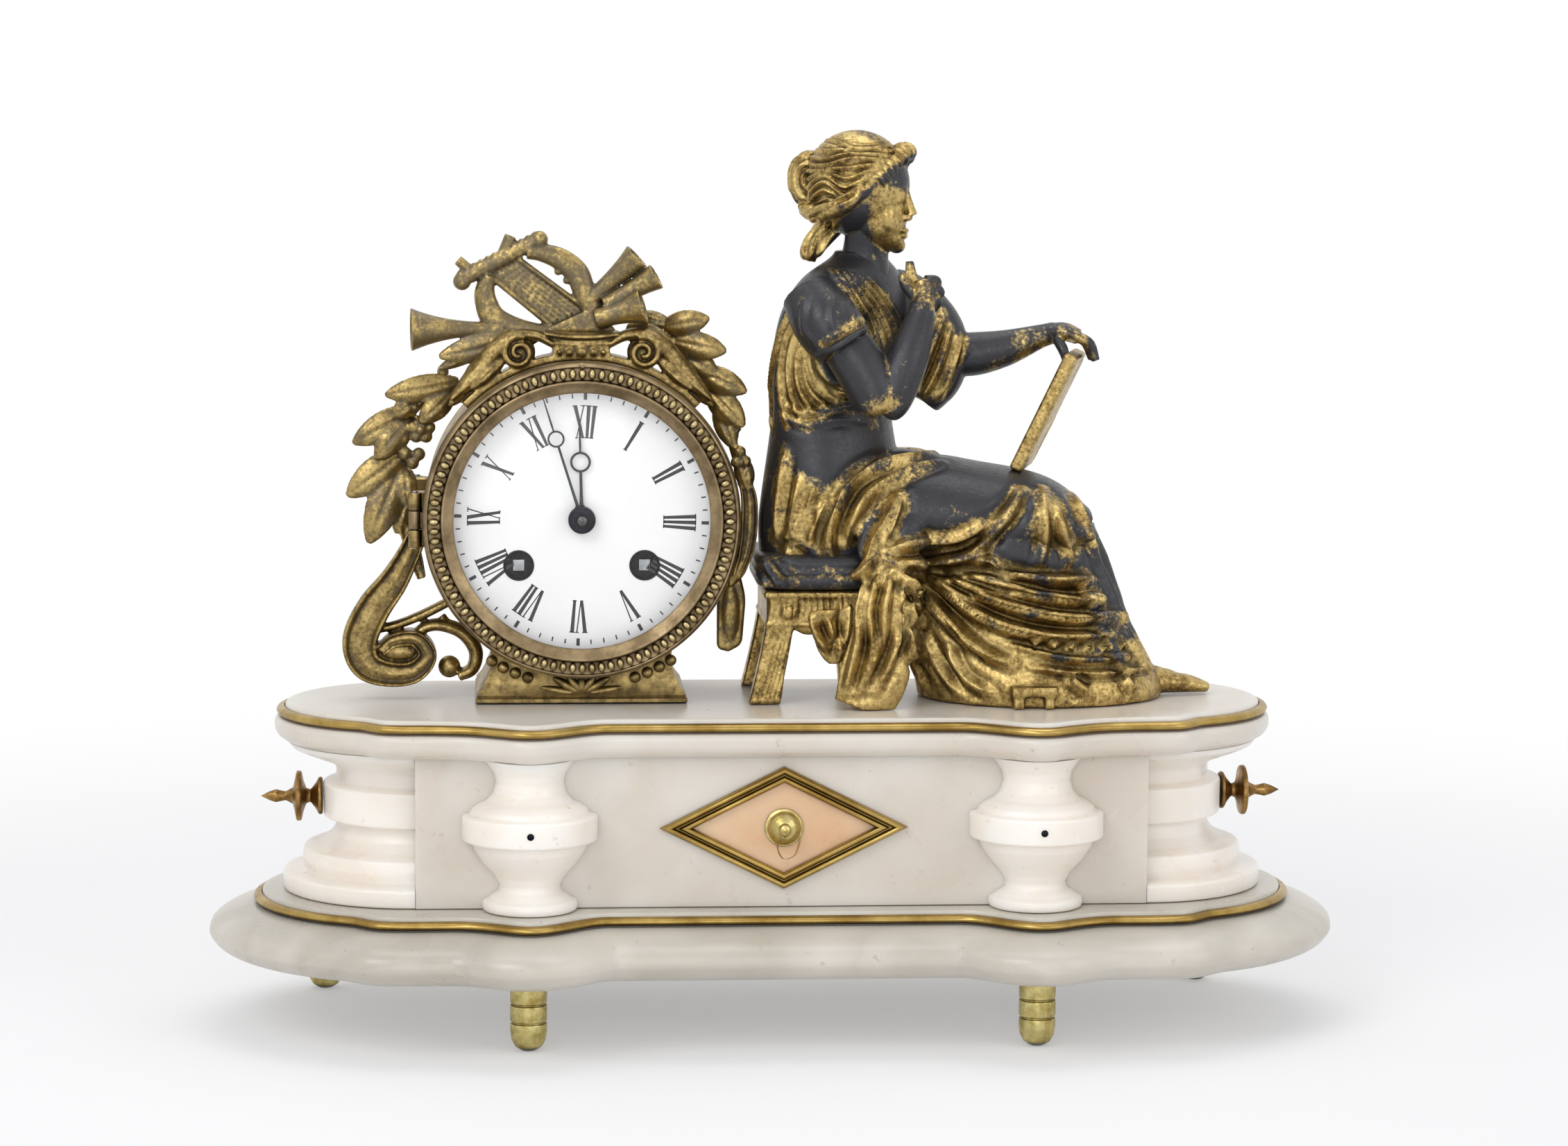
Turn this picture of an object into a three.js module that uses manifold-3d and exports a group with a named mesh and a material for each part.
// A French style table clock: a drum clock and a seated figure in cast metal on an alabaster base.
// Millimetres, +Z up, front towards -Y. The origin lies on the floor under the middle of the base.
import * as THREE from 'three';
import { mergeVertices } from 'three/addons/utils/BufferGeometryUtils.js';
import Module from 'manifold-3d';

const wasm = await Module();
wasm.setup();

// Gaps between pieces
const SEAT_GAP = 0.3; // between pieces that rest on each other
const RUN_GAP = 0.35; // round a shaft or pin that turns
const WELD = 1e-4; // vertices closer than this are one

// Base: plan
const END_X = 119.5; // centre of each round end, from the middle
const LOWER_RADIUS = 53; // lower string's radius round the end centre
const UPPER_RADIUS = 45; // upper string's radius round the end centre
const BULGE = 14.5; // how far the lower string bows out under a baluster
const UPPER_BULGE = 13; // the same on the upper string
const BULGE_HALF_WIDTH = 26; // from the top of a bow to its foot
const SHOULDER = 5; // step outside each bow
const UPPER_FRONT = 4; // the upper slab's front stands this far before its round ends
const BALUSTER_X = 82.5; // centre of each bow and baluster
const BALUSTER_RADIUS = 21.4; // its widest band

// Base: heights
const FOOT_HEIGHT = 23.5;
const FOOT_RADIUS = 6;
const FOOT_FLAT = 2.6; // radius of the flat that it stands on
const FOOT_GROOVE = 0.8; // depth of the two turned grooves
const FRONT_FOOT_X = 83;
const FRONT_FOOT_INSET = 3; // front feet, in from the lower string's straight front
const BACK_FOOT_END = 20.5; // back feet, in from the lower string's end
const BACK_FOOT_INSET = 5; // back feet, in from the lower string's back
const LOWER_SLAB = 22; // thickness
const LOWER_LIP = 16; // slab edge beyond the lower string
const FRIEZE_HEIGHT = 49.5;
const FRIEZE_HALF_DEPTH = 44.5;
const UPPER_SLAB = 13;
const UPPER_LIP = 2; // slab edge beyond the upper string
const STRING_HEIGHT = 3;
const STRING_DEPTH = 2.6;
const STRING_LAND = 1.6; // stone left above a string's ledge

// Base: brass on the frieze and the ends
const LOZENGE_HALF_WIDTH = 40.5;
const LOZENGE_HALF_HEIGHT = 20.2;
const LOZENGE_RISE = 26.4; // its centre above the lower slab
const LOZENGE_BAND = 4.8; // width of the frame, square to its side
const LOZENGE_PROUD = 2.8;
const PANEL_THICKNESS = 3;
const BOSS_RADIUS = 6.3;
const BOSS_HEIGHT = 4.2;
const STUD_RADIUS = 2;
const STUD_LENGTH = 2.4;
const FINIAL_RISE = 30.2; // finial axis above the lower slab
const FINIAL_LENGTH = 20.5;
const FINIAL_DISC = 8.4;
const FINIAL_COLLAR = 6.3;
const COLLAR_RADIUS = 31; // the end column's collar, which carries the finial

// Clock drum
const DIAL_RADIUS = 44.5;
const DIAL_MARGIN = 7; // from the dial's edge out to the drum's wall
const DRUM_RADIUS = DIAL_RADIUS + DIAL_MARGIN;
const DRUM_ASIDE = 13.5; // drum's right side, from the middle of the base
const DRUM_X = -DRUM_RADIUS - DRUM_ASIDE;
const DRUM_FRONT_Y = -6; // front face of the drum
const DRUM_LIFT = 10.1; // drum's underside above the upper slab
const DIAL_RISE = DRUM_RADIUS + DRUM_LIFT; // dial centre above the upper slab
const DRUM_WALL = 3;
const SEAT_RING_WIDTH = 3; // how far the ring that seats the dial reaches in under it
const SEAT_RING_RADIUS = DIAL_RADIUS - SEAT_RING_WIDTH;
const SEAT_RING_DEPTH = 6;
const PEDESTAL_HALF_WIDTH = 35;
const PEDESTAL_PLINTH = 6.5;
const PEDESTAL_WAIST = 31.5;
const PEDESTAL_HEIGHT = 22;
const PEDESTAL_FRONT = 1; // how far the pedestal stands before the drum
const PEDESTAL_SHORT = 3; // how far it ends before the drum's back

// Bezel, glass and back door
const BEZEL_OVERHANG = 0.7; // bezel's rim beyond the drum
const BEZEL_RADIUS = DRUM_RADIUS + BEZEL_OVERHANG;
const BEZEL_DEPTH = 11;
const SIGHT_LAP = 2.5; // how much of the dial's edge the bezel hides
const SIGHT_RADIUS = DIAL_RADIUS - SIGHT_LAP;
const REBATE_CLEARANCE = 1.5; // round the dial
const REBATE_RADIUS = DIAL_RADIUS + REBATE_CLEARANCE;
const LIP_THICKNESS = 3.3; // bezel's lip before the glass
const GLASS_THICKNESS = 1.4;
const GLASS_RISE = 3.4; // crown of the glass
const KNUCKLE_RADIUS = 2.2;
const KNUCKLE_LENGTH = 6;
const PIN_RADIUS = 0.9;
const HINGE_OUT = 3; // hinge axis beyond the drum's side
const DOOR_THICKNESS = 2;
const DOOR_RIM = 1.2;
const DOOR_KNOB = 2.4;

// Dial and hands
const DIAL_THICKNESS = 1.8;
const WINDER_HOLE = 4.7;
const WINDER_SQUARE = 3.6;
const HAND_THICKNESS = 0.7;
const HAND_GAP = 0.8;
const MINUTE_REACH = DIAL_RADIUS - 2;
const HOUR_REACH = DIAL_RADIUS - 11.5;
const MINUTE_RING_AT = 28; // ring of the minute hand, from the centre
const HOUR_RING_AT = 19.5;
const MINUTE_ANGLE = -17.6;
const HOUR_ANGLE = -1.4;
const COLLET_RADIUS = 4.4;
const COLLET_HEIGHT = 2;

// Movement
const PLATE_INSET = 0.5; // plates, in from the dial's edge
const PLATE_RADIUS = DIAL_RADIUS - PLATE_INSET;
const PLATE_THICKNESS = 2;
const PILLAR_RADIUS = 2;
const PILLAR_CIRCLE = PLATE_RADIUS - PILLAR_RADIUS - 1;
const ARBOR_RADIUS = 1;
const BARREL_HEIGHT = 10;
const BARREL_ARBOR = 2.2;
const WHEEL_THICKNESS = 1.4;
const LEVEL_GAP = 0.8; // between one wheel and the next along an arbor
const PLATE_SPACE = BARREL_HEIGHT + 3 * WHEEL_THICKNESS + 6 * LEVEL_GAP; // between the two plates
const TRAIN_MODULE = (3 * PLATE_RADIUS) / 110; // size of the teeth, so that the train fills the plates
const FINE_MODULE = PLATE_RADIUS / 44;
const HOUR_MODULE = PLATE_RADIUS / 55;
const MESH_SLACK = 0.2; // added to each pair's centre distance
const BELL_RADIUS = PLATE_RADIUS * 0.68;
const BELL_DEPTH = 11;
const BELL_WALL = 1.4;
const BOB_RADIUS = 10;
const BOB_THICKNESS = 6;
const BOB_DROP = PLATE_RADIUS * 1.5; // bob's centre below the suspension
const BELL_CLEARANCE = 2.5; // from the bell's crown to the drum's back

// Figure, stool and trophy, above the upper slab
const FIGURE_Y = 15; // the figure's middle plane
const STOOL_SEAT = 50;
const TABLET_LENGTH = 43;
const TABLET_WIDTH = 32;
const TABLET_THICKNESS = 4.5;
const FOLD_DEPTH = 1.5;
const BOLT_RADIUS = 3;
const BOLT_HEAD_RADIUS = 6.5;
const BOLT_HEAD_HEIGHT = 4;
const BOLT_REACH = 8; // length of a tie bolt inside its casting

// Levels along the movement, from the drum's front face back
const FRONT_PLATE = SEAT_RING_DEPTH + SEAT_GAP;
const TRAIN_FRONT = FRONT_PLATE + PLATE_THICKNESS;
const BACK_PLATE = TRAIN_FRONT + PLATE_SPACE;
const PLATE_BACK = BACK_PLATE + PLATE_THICKNESS;
const GREAT_LEVEL = TRAIN_FRONT + LEVEL_GAP;
const BARREL_BACK = GREAT_LEVEL + WHEEL_THICKNESS + BARREL_HEIGHT;
const SECOND_LEVEL = BARREL_BACK + LEVEL_GAP;
const CENTRE_LEVEL = SECOND_LEVEL + WHEEL_THICKNESS + LEVEL_GAP;
const THIRD_LEVEL = SECOND_LEVEL - WHEEL_THICKNESS - 2 * LEVEL_GAP;
const ESCAPE_LEVEL = THIRD_LEVEL - WHEEL_THICKNESS - 4 * LEVEL_GAP;
const MINUTE_LEVEL = FRONT_PLATE - WHEEL_THICKNESS - LEVEL_GAP / 2;
const HOUR_LEVEL = MINUTE_LEVEL - WHEEL_THICKNESS - LEVEL_GAP / 2;
const COUNT_LEVEL = PLATE_BACK + LEVEL_GAP / 2;
const CRUTCH_LEVEL = PLATE_BACK + LEVEL_GAP;
const ROD_THICKNESS = 1.2;
const ROD_LEVEL = CRUTCH_LEVEL + 2 * ROD_THICKNESS;
const BELL_RIM = ROD_LEVEL + (ROD_THICKNESS + BOB_THICKNESS) / 2 + 2 * ROD_THICKNESS;
const DRUM_DEPTH = BELL_RIM + BELL_DEPTH + BELL_CLEARANCE;
const PEDESTAL_DEPTH = DRUM_DEPTH - PEDESTAL_SHORT;

// Heights that follow from the stack
const STONE_Y = BULGE / 2;
const BACK_FOOT_X = END_X + LOWER_RADIUS - BACK_FOOT_END;
const LOWER_TOP = FOOT_HEIGHT + LOWER_SLAB;
const FRIEZE_TOP = LOWER_TOP + FRIEZE_HEIGHT;
const SLAB_TOP = FRIEZE_TOP + UPPER_SLAB;
const FRIEZE_FACE = STONE_Y - FRIEZE_HALF_DEPTH;
const FIGURE_BOLT = new THREE.Vector2(78, 14);
const DRUM_BOLT = new THREE.Vector2(DRUM_X, DRUM_FRONT_Y + PEDESTAL_DEPTH / 2);

// Solids

const vec = (x, y, z) => new THREE.Vector3(x, y, z);
const radians = THREE.MathUtils.degToRad;

// Joins shared vertices, drops empty triangles and turns every face outwards.
function closedMesh(geometry) {
  const bare = new THREE.BufferGeometry();
  bare.setAttribute('position', geometry.getAttribute('position').clone());
  bare.setIndex(geometry.index ? geometry.index.clone() : null);
  const merged = mergeVertices(bare, WELD);
  const place = merged.getAttribute('position');
  const corners = merged.index.array;
  const faces = [];
  let volume = 0;
  const [a, b, c] = [vec(), vec(), vec()];
  for (let i = 0; i < corners.length; i += 3) {
    const face = [corners[i], corners[i + 1], corners[i + 2]];
    if (new Set(face).size === 3) {
      faces.push(...face);
      a.fromBufferAttribute(place, face[0]);
      b.fromBufferAttribute(place, face[1]);
      c.fromBufferAttribute(place, face[2]);
      volume += a.dot(b.cross(c));
    }
  }
  if (volume < 0) faces.reverse();
  return { points: Float32Array.from(place.array), faces: Uint32Array.from(faces) };
}

function solid(geometry) {
  const { points, faces } = closedMesh(geometry);
  return new wasm.Manifold(new wasm.Mesh({ numProp: 3, vertProperties: points, triVerts: faces }));
}

const join = (...geometries) => geometries.map(asSolid).reduce((whole, next) => whole.add(next));
const cut = (geometry, ...tools) =>
  tools.map(asSolid).reduce((left, tool) => left.subtract(tool), asSolid(geometry));
const asSolid = (item) => (item.isBufferGeometry ? solid(item) : item);

function asGeometry(item) {
  if (item.isBufferGeometry) {
    const { points, faces } = closedMesh(item);
    return facets(points, faces);
  }
  const { vertProperties, triVerts } = item.getMesh();
  return facets(vertProperties, triVerts);
}

function facets(points, faces) {
  const geometry = new THREE.BufferGeometry();
  geometry.setAttribute('position', new THREE.BufferAttribute(Float32Array.from(points), 3));
  geometry.setIndex(new THREE.BufferAttribute(Uint32Array.from(faces), 1));
  geometry.computeVertexNormals();
  return geometry;
}

function piece(parent, name, shape, finish) {
  const mesh = new THREE.Mesh(asGeometry(shape), new THREE.MeshStandardMaterial(finish));
  mesh.name = name;
  parent.add(mesh);
}

// Shapes

// A flat cap over a ring of points, as triangles of ring indices in the ring's own order.
function capFaces(ring) {
  const normal = vec(0, 0, 0);
  ring.forEach((point, i) => normal.add(point.clone().cross(ring[(i + 1) % ring.length])));
  normal.normalize();
  const side = Math.abs(normal.z) < 0.9 ? vec(0, 0, 1) : vec(1, 0, 0);
  const u = side.clone().cross(normal).normalize();
  const v = normal.clone().cross(u);
  const flat = ring.map((point) => new THREE.Vector2(point.dot(u), point.dot(v)));
  const faces = THREE.ShapeUtils.triangulateShape(flat, []);
  return faces.map(([i, j, k]) => {
    const turn = flat[j].clone().sub(flat[i]).cross(flat[k].clone().sub(flat[i]));
    return turn > 0 ? [i, j, k] : [i, k, j];
  });
}

// A skin through rings of equal count, capped at both ends or closed on itself.
function skin(rings, closed = false) {
  const count = rings[0].length;
  const spans = closed ? rings.length : rings.length - 1;
  const faces = [];
  for (let i = 0; i < spans; i += 1) {
    const low = i * count;
    const high = ((i + 1) % rings.length) * count;
    for (let j = 0; j < count; j += 1) {
      const k = (j + 1) % count;
      faces.push(low + j, low + k, high + k, low + j, high + k, high + j);
    }
  }
  if (!closed) {
    const last = (rings.length - 1) * count;
    capFaces(rings[0]).forEach(([i, j, k]) => faces.push(i, k, j));
    capFaces(rings[rings.length - 1]).forEach(([i, j, k]) => faces.push(last + i, last + j, last + k));
  }
  return facets(rings.flat().flatMap((point) => point.toArray()), faces);
}

// A limb through stations [x, y, z, width, depth]: half sizes across the given direction and square to it.
// Rings stand square to the path, or lie level where level is set. Folds ripple the skin.
function limb(stations, options = {}) {
  const { across = vec(0, 1, 0), sides = 12, grow = 0, level = false, folds = 0, ripple = 0 } = options;
  const path = stations.map(([x, y, z]) => vec(x, y, z));
  const rings = stations.map(([, , , wide, deep], i) => {
    const ahead = path[Math.min(i + 1, path.length - 1)].clone();
    const along = level ? vec(0, 0, 1) : ahead.sub(path[Math.max(i - 1, 0)]).normalize();
    const u = across.clone().addScaledVector(along, -across.dot(along)).normalize();
    const v = along.clone().cross(u);
    return Array.from({ length: sides }, (_, j) => {
      const angle = (2 * Math.PI * j) / sides;
      const fold = ripple * Math.cos(folds * angle + i);
      return path[i].clone()
        .addScaledVector(u, (wide + grow + fold) * Math.cos(angle))
        .addScaledVector(v, (deep + grow + fold) * Math.sin(angle));
    });
  });
  return skin(rings);
}

// The same through a smooth curve: stations are the curve's points, and steps sets how many rings it gets.
function bent(stations, steps, options) {
  const curve = new THREE.CatmullRomCurve3(stations.map(([x, y, z]) => vec(x, y, z)));
  const sizes = new THREE.CatmullRomCurve3(stations.map(([, , , wide, deep]) => vec(wide, deep, 0)));
  const rings = Array.from({ length: steps + 1 }, (_, i) => {
    const place = curve.getPoint(i / steps);
    const size = sizes.getPoint(i / steps);
    return [place.x, place.y, place.z, size.x, size.y];
  });
  return limb(rings, options);
}

const ball = (x, y, z, rx, ry = rx, rz = rx, sides = 12) =>
  new THREE.SphereGeometry(1, sides, Math.max(6, sides / 2)).scale(rx, ry, rz).translate(x, y, z);
const block = (x0, x1, y0, y1, z0, z1) =>
  new THREE.BoxGeometry(x1 - x0, y1 - y0, z1 - z0).translate((x0 + x1) / 2, (y0 + y1) / 2,
    (z0 + z1) / 2);

// Turned about +Z or +Y: a profile of [radius, height].
const turnedY = (profile, sides) =>
  new THREE.LatheGeometry(profile.map(([r, h]) => new THREE.Vector2(r, h)), sides);
const turnedZ = (profile, sides) => turnedY(profile, sides).rotateX(Math.PI / 2);

// A rod along Y or Z.
const rodY = (x, z, y0, y1, radius, sides = 10) =>
  new THREE.CylinderGeometry(radius, radius, y1 - y0, sides).translate(x, (y0 + y1) / 2, z);
const rodZ = (x, y, z0, z1, radius, sides = 12) =>
  new THREE.CylinderGeometry(radius, radius, z1 - z0, sides).rotateX(Math.PI / 2).translate(x, y,
    (z0 + z1) / 2);

// An upright plate: a shape drawn in X and Z, between two Y values.
const plate = (shape, y0, y1, arcs = 12) =>
  new THREE.ExtrudeGeometry(shape, { depth: y1 - y0, bevelEnabled: false, curveSegments: arcs })
    .rotateX(Math.PI / 2).translate(0, y1, 0);
const polygon = (points) => new THREE.Shape(points.map(([x, z]) => new THREE.Vector2(x, z)));
const circle = (x, z, radius, sides) =>
  new THREE.EllipseCurve(x, z, radius, radius).getPoints(sides).slice(0, sides);

// A round plate with round holes [x, z, radius].
function disc(radius, holes, rimSides, holeSides) {
  const shape = new THREE.Shape(circle(0, 0, radius, rimSides));
  holes.forEach(([x, z, r]) => shape.holes.push(new THREE.Path(circle(x, z, r, holeSides))));
  return shape;
}

// Finishes
const ALABASTER = { color: 0xece5da, roughness: 0.4, metalness: 0 };
const INLAY = { color: 0xeccfb4, roughness: 0.4, metalness: 0 };
const BRASS = { color: 0xb8984e, roughness: 0.35, metalness: 1 };
const GILT = { color: 0x93794a, roughness: 0.45, metalness: 1 };
const SPELTER = { color: 0x55524c, roughness: 0.5, metalness: 0.8 };
const STEEL = { color: 0x8a8c90, roughness: 0.35, metalness: 1 };
const BLUED = { color: 0x1c1e24, roughness: 0.35, metalness: 0.9 };
const ENAMEL = { color: 0xf4f2ee, roughness: 0.15, metalness: 0 };
const CRYSTAL = { color: 0xffffff, roughness: 0.02, metalness: 0, transparent: true, opacity: 0.2 };

// Base: the plan of the slabs

const FRONT_STATIONS = [0, 54, 64, 73, BALUSTER_X, 92, 101, 109, END_X];
const END_STATIONS = [12, 25, 47, 68, 90, 120, 150, 180];
const SHOULDER_FADE = [10, 24]; // degrees round the end where the shoulder dies away

function smooth(from, to, value) {
  const t = THREE.MathUtils.clamp((value - from) / (to - from), 0, 1);
  return t * t * (3 - 2 * t);
}

// How far the front edge stands out at a distance x from the middle.
function swell(x, bulge) {
  const away = Math.min(1, Math.abs(x - BALUSTER_X) / BULGE_HALF_WIDTH);
  const bow = (bulge * (1 + Math.cos(Math.PI * away))) / 2;
  return bow + SHOULDER * smooth(BALUSTER_X + BULGE_HALF_WIDTH / 4, BALUSTER_X + BULGE_HALF_WIDTH, x);
}

// The plan of a string: from the middle of the front, anticlockwise seen from above.
function planEdge(radius, bulge, front) {
  const right = FRONT_STATIONS.map((x) => {
    const middle = front * (1 - smooth(BALUSTER_X, END_X, x));
    return new THREE.Vector2(x, STONE_Y - radius - middle - swell(x, bulge));
  });
  END_STATIONS.forEach((degrees) => {
    const reach = radius + SHOULDER * (1 - smooth(...SHOULDER_FADE, degrees));
    const angle = radians(degrees);
    right.push(new THREE.Vector2(END_X + reach * Math.sin(angle), STONE_Y - reach * Math.cos(angle)));
  });
  const left = right.slice(1).reverse().map((point) => new THREE.Vector2(-point.x, point.y));
  return [...right, ...left];
}

// The same edge moved outwards, with mitred corners.
function offsetEdge(edge, distance) {
  return edge.map((point, i) => {
    const before = point.clone().sub(edge[(i + edge.length - 1) % edge.length]).normalize();
    const after = edge[(i + 1) % edge.length].clone().sub(point).normalize();
    const along = before.clone().add(after).normalize();
    const reach = distance / Math.max(0.5, along.dot(after));
    return new THREE.Vector2(point.x + along.y * reach, point.y - along.x * reach);
  });
}

// A slab whose edge follows a profile of [offset, z].
function slab(edge, profile) {
  return skin(profile.map(([offset, z]) => offsetEdge(edge,
    offset).map((point) => vec(point.x, point.y, z))));
}

// A half-round strip along the front and the ends of an edge, with its back on the riser.
function stringStrip(edge, ledge) {
  const low = ledge + SEAT_GAP;
  const high = low + STRING_HEIGHT;
  const back = -STRING_DEPTH / 2;
  const face = back + STRING_DEPTH;
  const section = [[back, low], [face, low + STRING_HEIGHT * 0.25],
    [face, high - STRING_HEIGHT * 0.25], [back, high]];
  const rails = section.map(([offset, z]) => offsetEdge(edge,
    offset).map((point) => vec(point.x, point.y, z)));
  const half = (edge.length + 1) / 2;
  const order = edge.map((_, i) => (i + half) % edge.length);
  return skin(order.map((i) => rails.map((rail) => rail[i])));
}

const lowerEdge = planEdge(LOWER_RADIUS, BULGE, 0);
const upperEdge = planEdge(UPPER_RADIUS, UPPER_BULGE, UPPER_FRONT);
const RISER = -STRING_DEPTH / 2 - SEAT_GAP;
const LOWER_LEDGE = LOWER_TOP - STRING_LAND - STRING_HEIGHT;
const UPPER_LEDGE = SLAB_TOP - STRING_LAND - STRING_HEIGHT;

const boltHole = (place, z0, z1) => rodZ(place.x, place.y, z0, z1, BOLT_RADIUS + RUN_GAP, 8);
const boltHoles = (z0, z1) => [boltHole(FIGURE_BOLT, z0, z1), boltHole(DRUM_BOLT, z0, z1)];

function lowerSlab() {
  const low = FOOT_HEIGHT + SEAT_GAP;
  const rise = LOWER_LEDGE - low;
  const body = slab(lowerEdge, [[0, low], [LOWER_LIP * 0.65, low + rise * 0.14],
    [LOWER_LIP, low + rise * 0.42],
    [LOWER_LIP * 0.75, low + rise * 0.8], [1, LOWER_LEDGE],
    [RISER, LOWER_LEDGE], [RISER, LOWER_TOP]]);
  const heads = [FIGURE_BOLT, DRUM_BOLT].map((place) =>
    rodZ(place.x, place.y, 0, low + BOLT_HEAD_HEIGHT + SEAT_GAP, BOLT_HEAD_RADIUS + RUN_GAP, 6));
  return cut(body, ...boltHoles(0, SLAB_TOP), ...heads);
}

function upperSlab() {
  const low = FRIEZE_TOP + SEAT_GAP;
  const rise = UPPER_LEDGE - low;
  const body = slab(upperEdge, [[-1, low], [UPPER_LIP * 0.7, low + rise * 0.35],
    [UPPER_LIP, low + rise * 0.7],
    [1, UPPER_LEDGE], [RISER, UPPER_LEDGE], [RISER, SLAB_TOP]]);
  return cut(body, ...boltHoles(0, SLAB_TOP + 1));
}

// Base: frieze, end columns and balusters

function lozenge(inset) {
  const inner = Math.hypot(LOZENGE_HALF_WIDTH, LOZENGE_HALF_HEIGHT);
  const inradius = (LOZENGE_HALF_WIDTH * LOZENGE_HALF_HEIGHT) / inner;
  const scale = (inradius - inset) / inradius;
  const z = LOWER_TOP + LOZENGE_RISE;
  return [[LOZENGE_HALF_WIDTH * scale, z], [0, z + LOZENGE_HALF_HEIGHT * scale],
    [-LOZENGE_HALF_WIDTH * scale, z], [0, z - LOZENGE_HALF_HEIGHT * scale]];
}

function frieze() {
  const body = block(-END_X + SEAT_GAP, END_X - SEAT_GAP, FRIEZE_FACE, STONE_Y + FRIEZE_HALF_DEPTH,
    LOWER_TOP + SEAT_GAP, FRIEZE_TOP);
  const pocket = plate(polygon(lozenge(LOZENGE_BAND / 2)), FRIEZE_FACE - 1,
    FRIEZE_FACE + PANEL_THICKNESS);
  return cut(body, pocket, ...boltHoles(0, SLAB_TOP));
}

function lozengePanel() {
  const inset = LOZENGE_BAND / 2 + SEAT_GAP;
  return plate(polygon(lozenge(inset)), FRIEZE_FACE, FRIEZE_FACE + PANEL_THICKNESS - SEAT_GAP);
}

// A double moulding: two rounded ribs with a groove between, mitred at the four corners.
function lozengeFrame() {
  const section = [[0, 0], [0.05, 0.6], [0.25, 1], [0.42, 0.6], [0.5, 0.35], [0.58, 0.6], [0.78, 0.9],
    [1, 0.4], [1, 0]];
  const rails = section.map(([across, high]) => {
    const y = FRIEZE_FACE - SEAT_GAP - high * LOZENGE_PROUD;
    return lozenge(across * LOZENGE_BAND).map(([x, z]) => vec(x, y, z));
  });
  return skin([0, 1, 2, 3].map((corner) => rails.map((rail) => rail[corner])), true);
}

function lozengeBoss() {
  const end = BOSS_HEIGHT + STUD_LENGTH;
  const dome = [[0, 0], [BOSS_RADIUS, 0], [BOSS_RADIUS, BOSS_HEIGHT * 0.2],
    [BOSS_RADIUS * 0.75, BOSS_HEIGHT * 0.6],
    [STUD_RADIUS, BOSS_HEIGHT], [STUD_RADIUS, end], [0, end + STUD_RADIUS * 0.4]];
  return turnedZ(dome, 14).rotateX(Math.PI / 2).translate(0, FRIEZE_FACE - SEAT_GAP,
    LOWER_TOP + LOZENGE_RISE);
}

// Half of a turned column at the end of the frieze: side is -1 on the left and 1 on the right.
function endColumn(side) {
  const low = LOWER_TOP + SEAT_GAP;
  const rise = FRIEZE_TOP - SEAT_GAP - low;
  const foot = FRIEZE_HALF_DEPTH;
  const neck = COLLAR_RADIUS - 4.5;
  const ring = (foot + neck) / 2 + 3;
  const turned = [[0, 0], [foot, 0], [foot, 0.11], [ring, 0.14], [ring + 1, 0.23], [neck + 4, 0.32],
    [neck, 0.47],
    [COLLAR_RADIUS, 0.5], [COLLAR_RADIUS, 0.72], [neck, 0.74], [neck, 0.82], [foot - 7, 0.91],
      [foot, 1], [0, 1]];
  const profile = turned.map(([radius, share]) => [radius, low + rise * share]);
  const body = turnedZ(profile, 18).translate(side * END_X, STONE_Y, 0);
  const face = side * (END_X + SEAT_GAP / 2);
  const away = face - side * 2 * END_X;
  return cut(body, block(Math.min(face, away), Math.max(face, away), -END_X, END_X, 0, SLAB_TOP));
}

function finial(side) {
  const stem = FINIAL_COLLAR / 3;
  const turned = [[0, 0], [FINIAL_COLLAR, 0], [FINIAL_COLLAR, 0.06], [stem, 0.2], [FINIAL_DISC, 0.34],
    [FINIAL_DISC, 0.43], [stem * 1.4, 0.48], [stem * 0.7, 0.6], [stem, 0.75], [0, 1]];
  const profile = turned.map(([radius, share]) => [radius, FINIAL_LENGTH * share]);
  const turn = side > 0 ? -Math.PI / 2 : Math.PI / 2;
  const seat = END_X + COLLAR_RADIUS + SEAT_GAP;
  return turnedY(profile, 10).rotateZ(turn).translate(side * seat, STONE_Y, LOWER_TOP + FINIAL_RISE);
}

// Half of a turned urn against the frieze.
function baluster(side) {
  const low = LOWER_TOP + SEAT_GAP;
  const rise = FRIEZE_TOP - low;
  const band = BALUSTER_RADIUS;
  const turned = [[0, 0], [0.71, 0], [0.71, 0.1], [0.46, 0.14], [0.46, 0.18], [0.75, 0.38],
    [0.92, 0.46], [1, 0.5],
    [1, 0.63], [0.9, 0.66], [0.55, 0.76], [0.52, 0.87], [0.75, 0.98], [0.75, 1], [0, 1]];
  const profile = turned.map(([share, high]) => [band * share, low + rise * high]);
  const body = turnedZ(profile, 14).translate(side * BALUSTER_X, FRIEZE_FACE, 0);
  return cut(body, block(-END_X, END_X, FRIEZE_FACE - SEAT_GAP, END_X, 0, SLAB_TOP));
}

function foot(x, y) {
  const groove = FOOT_RADIUS - FOOT_GROOVE;
  const turned = [[0, 0], [FOOT_FLAT, 0], [FOOT_RADIUS, 0.25], [FOOT_RADIUS, 0.4], [groove, 0.43],
    [FOOT_RADIUS, 0.46],
    [FOOT_RADIUS, 0.63], [groove, 0.66], [FOOT_RADIUS, 0.69], [FOOT_RADIUS, 1], [0, 1]];
  const profile = turned.map(([radius, share]) => [radius, FOOT_HEIGHT * share]);
  return turnedZ(profile, 8).translate(x, y, 0);
}

// A tie bolt from a pocket under the base up into a casting.
function tieBolt(place) {
  const low = FOOT_HEIGHT + SEAT_GAP;
  const head = rodZ(place.x, place.y, low, low + BOLT_HEAD_HEIGHT, BOLT_HEAD_RADIUS, 6);
  return join(head, rodZ(place.x, place.y, low, SLAB_TOP + BOLT_REACH, BOLT_RADIUS, 8));
}

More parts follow.
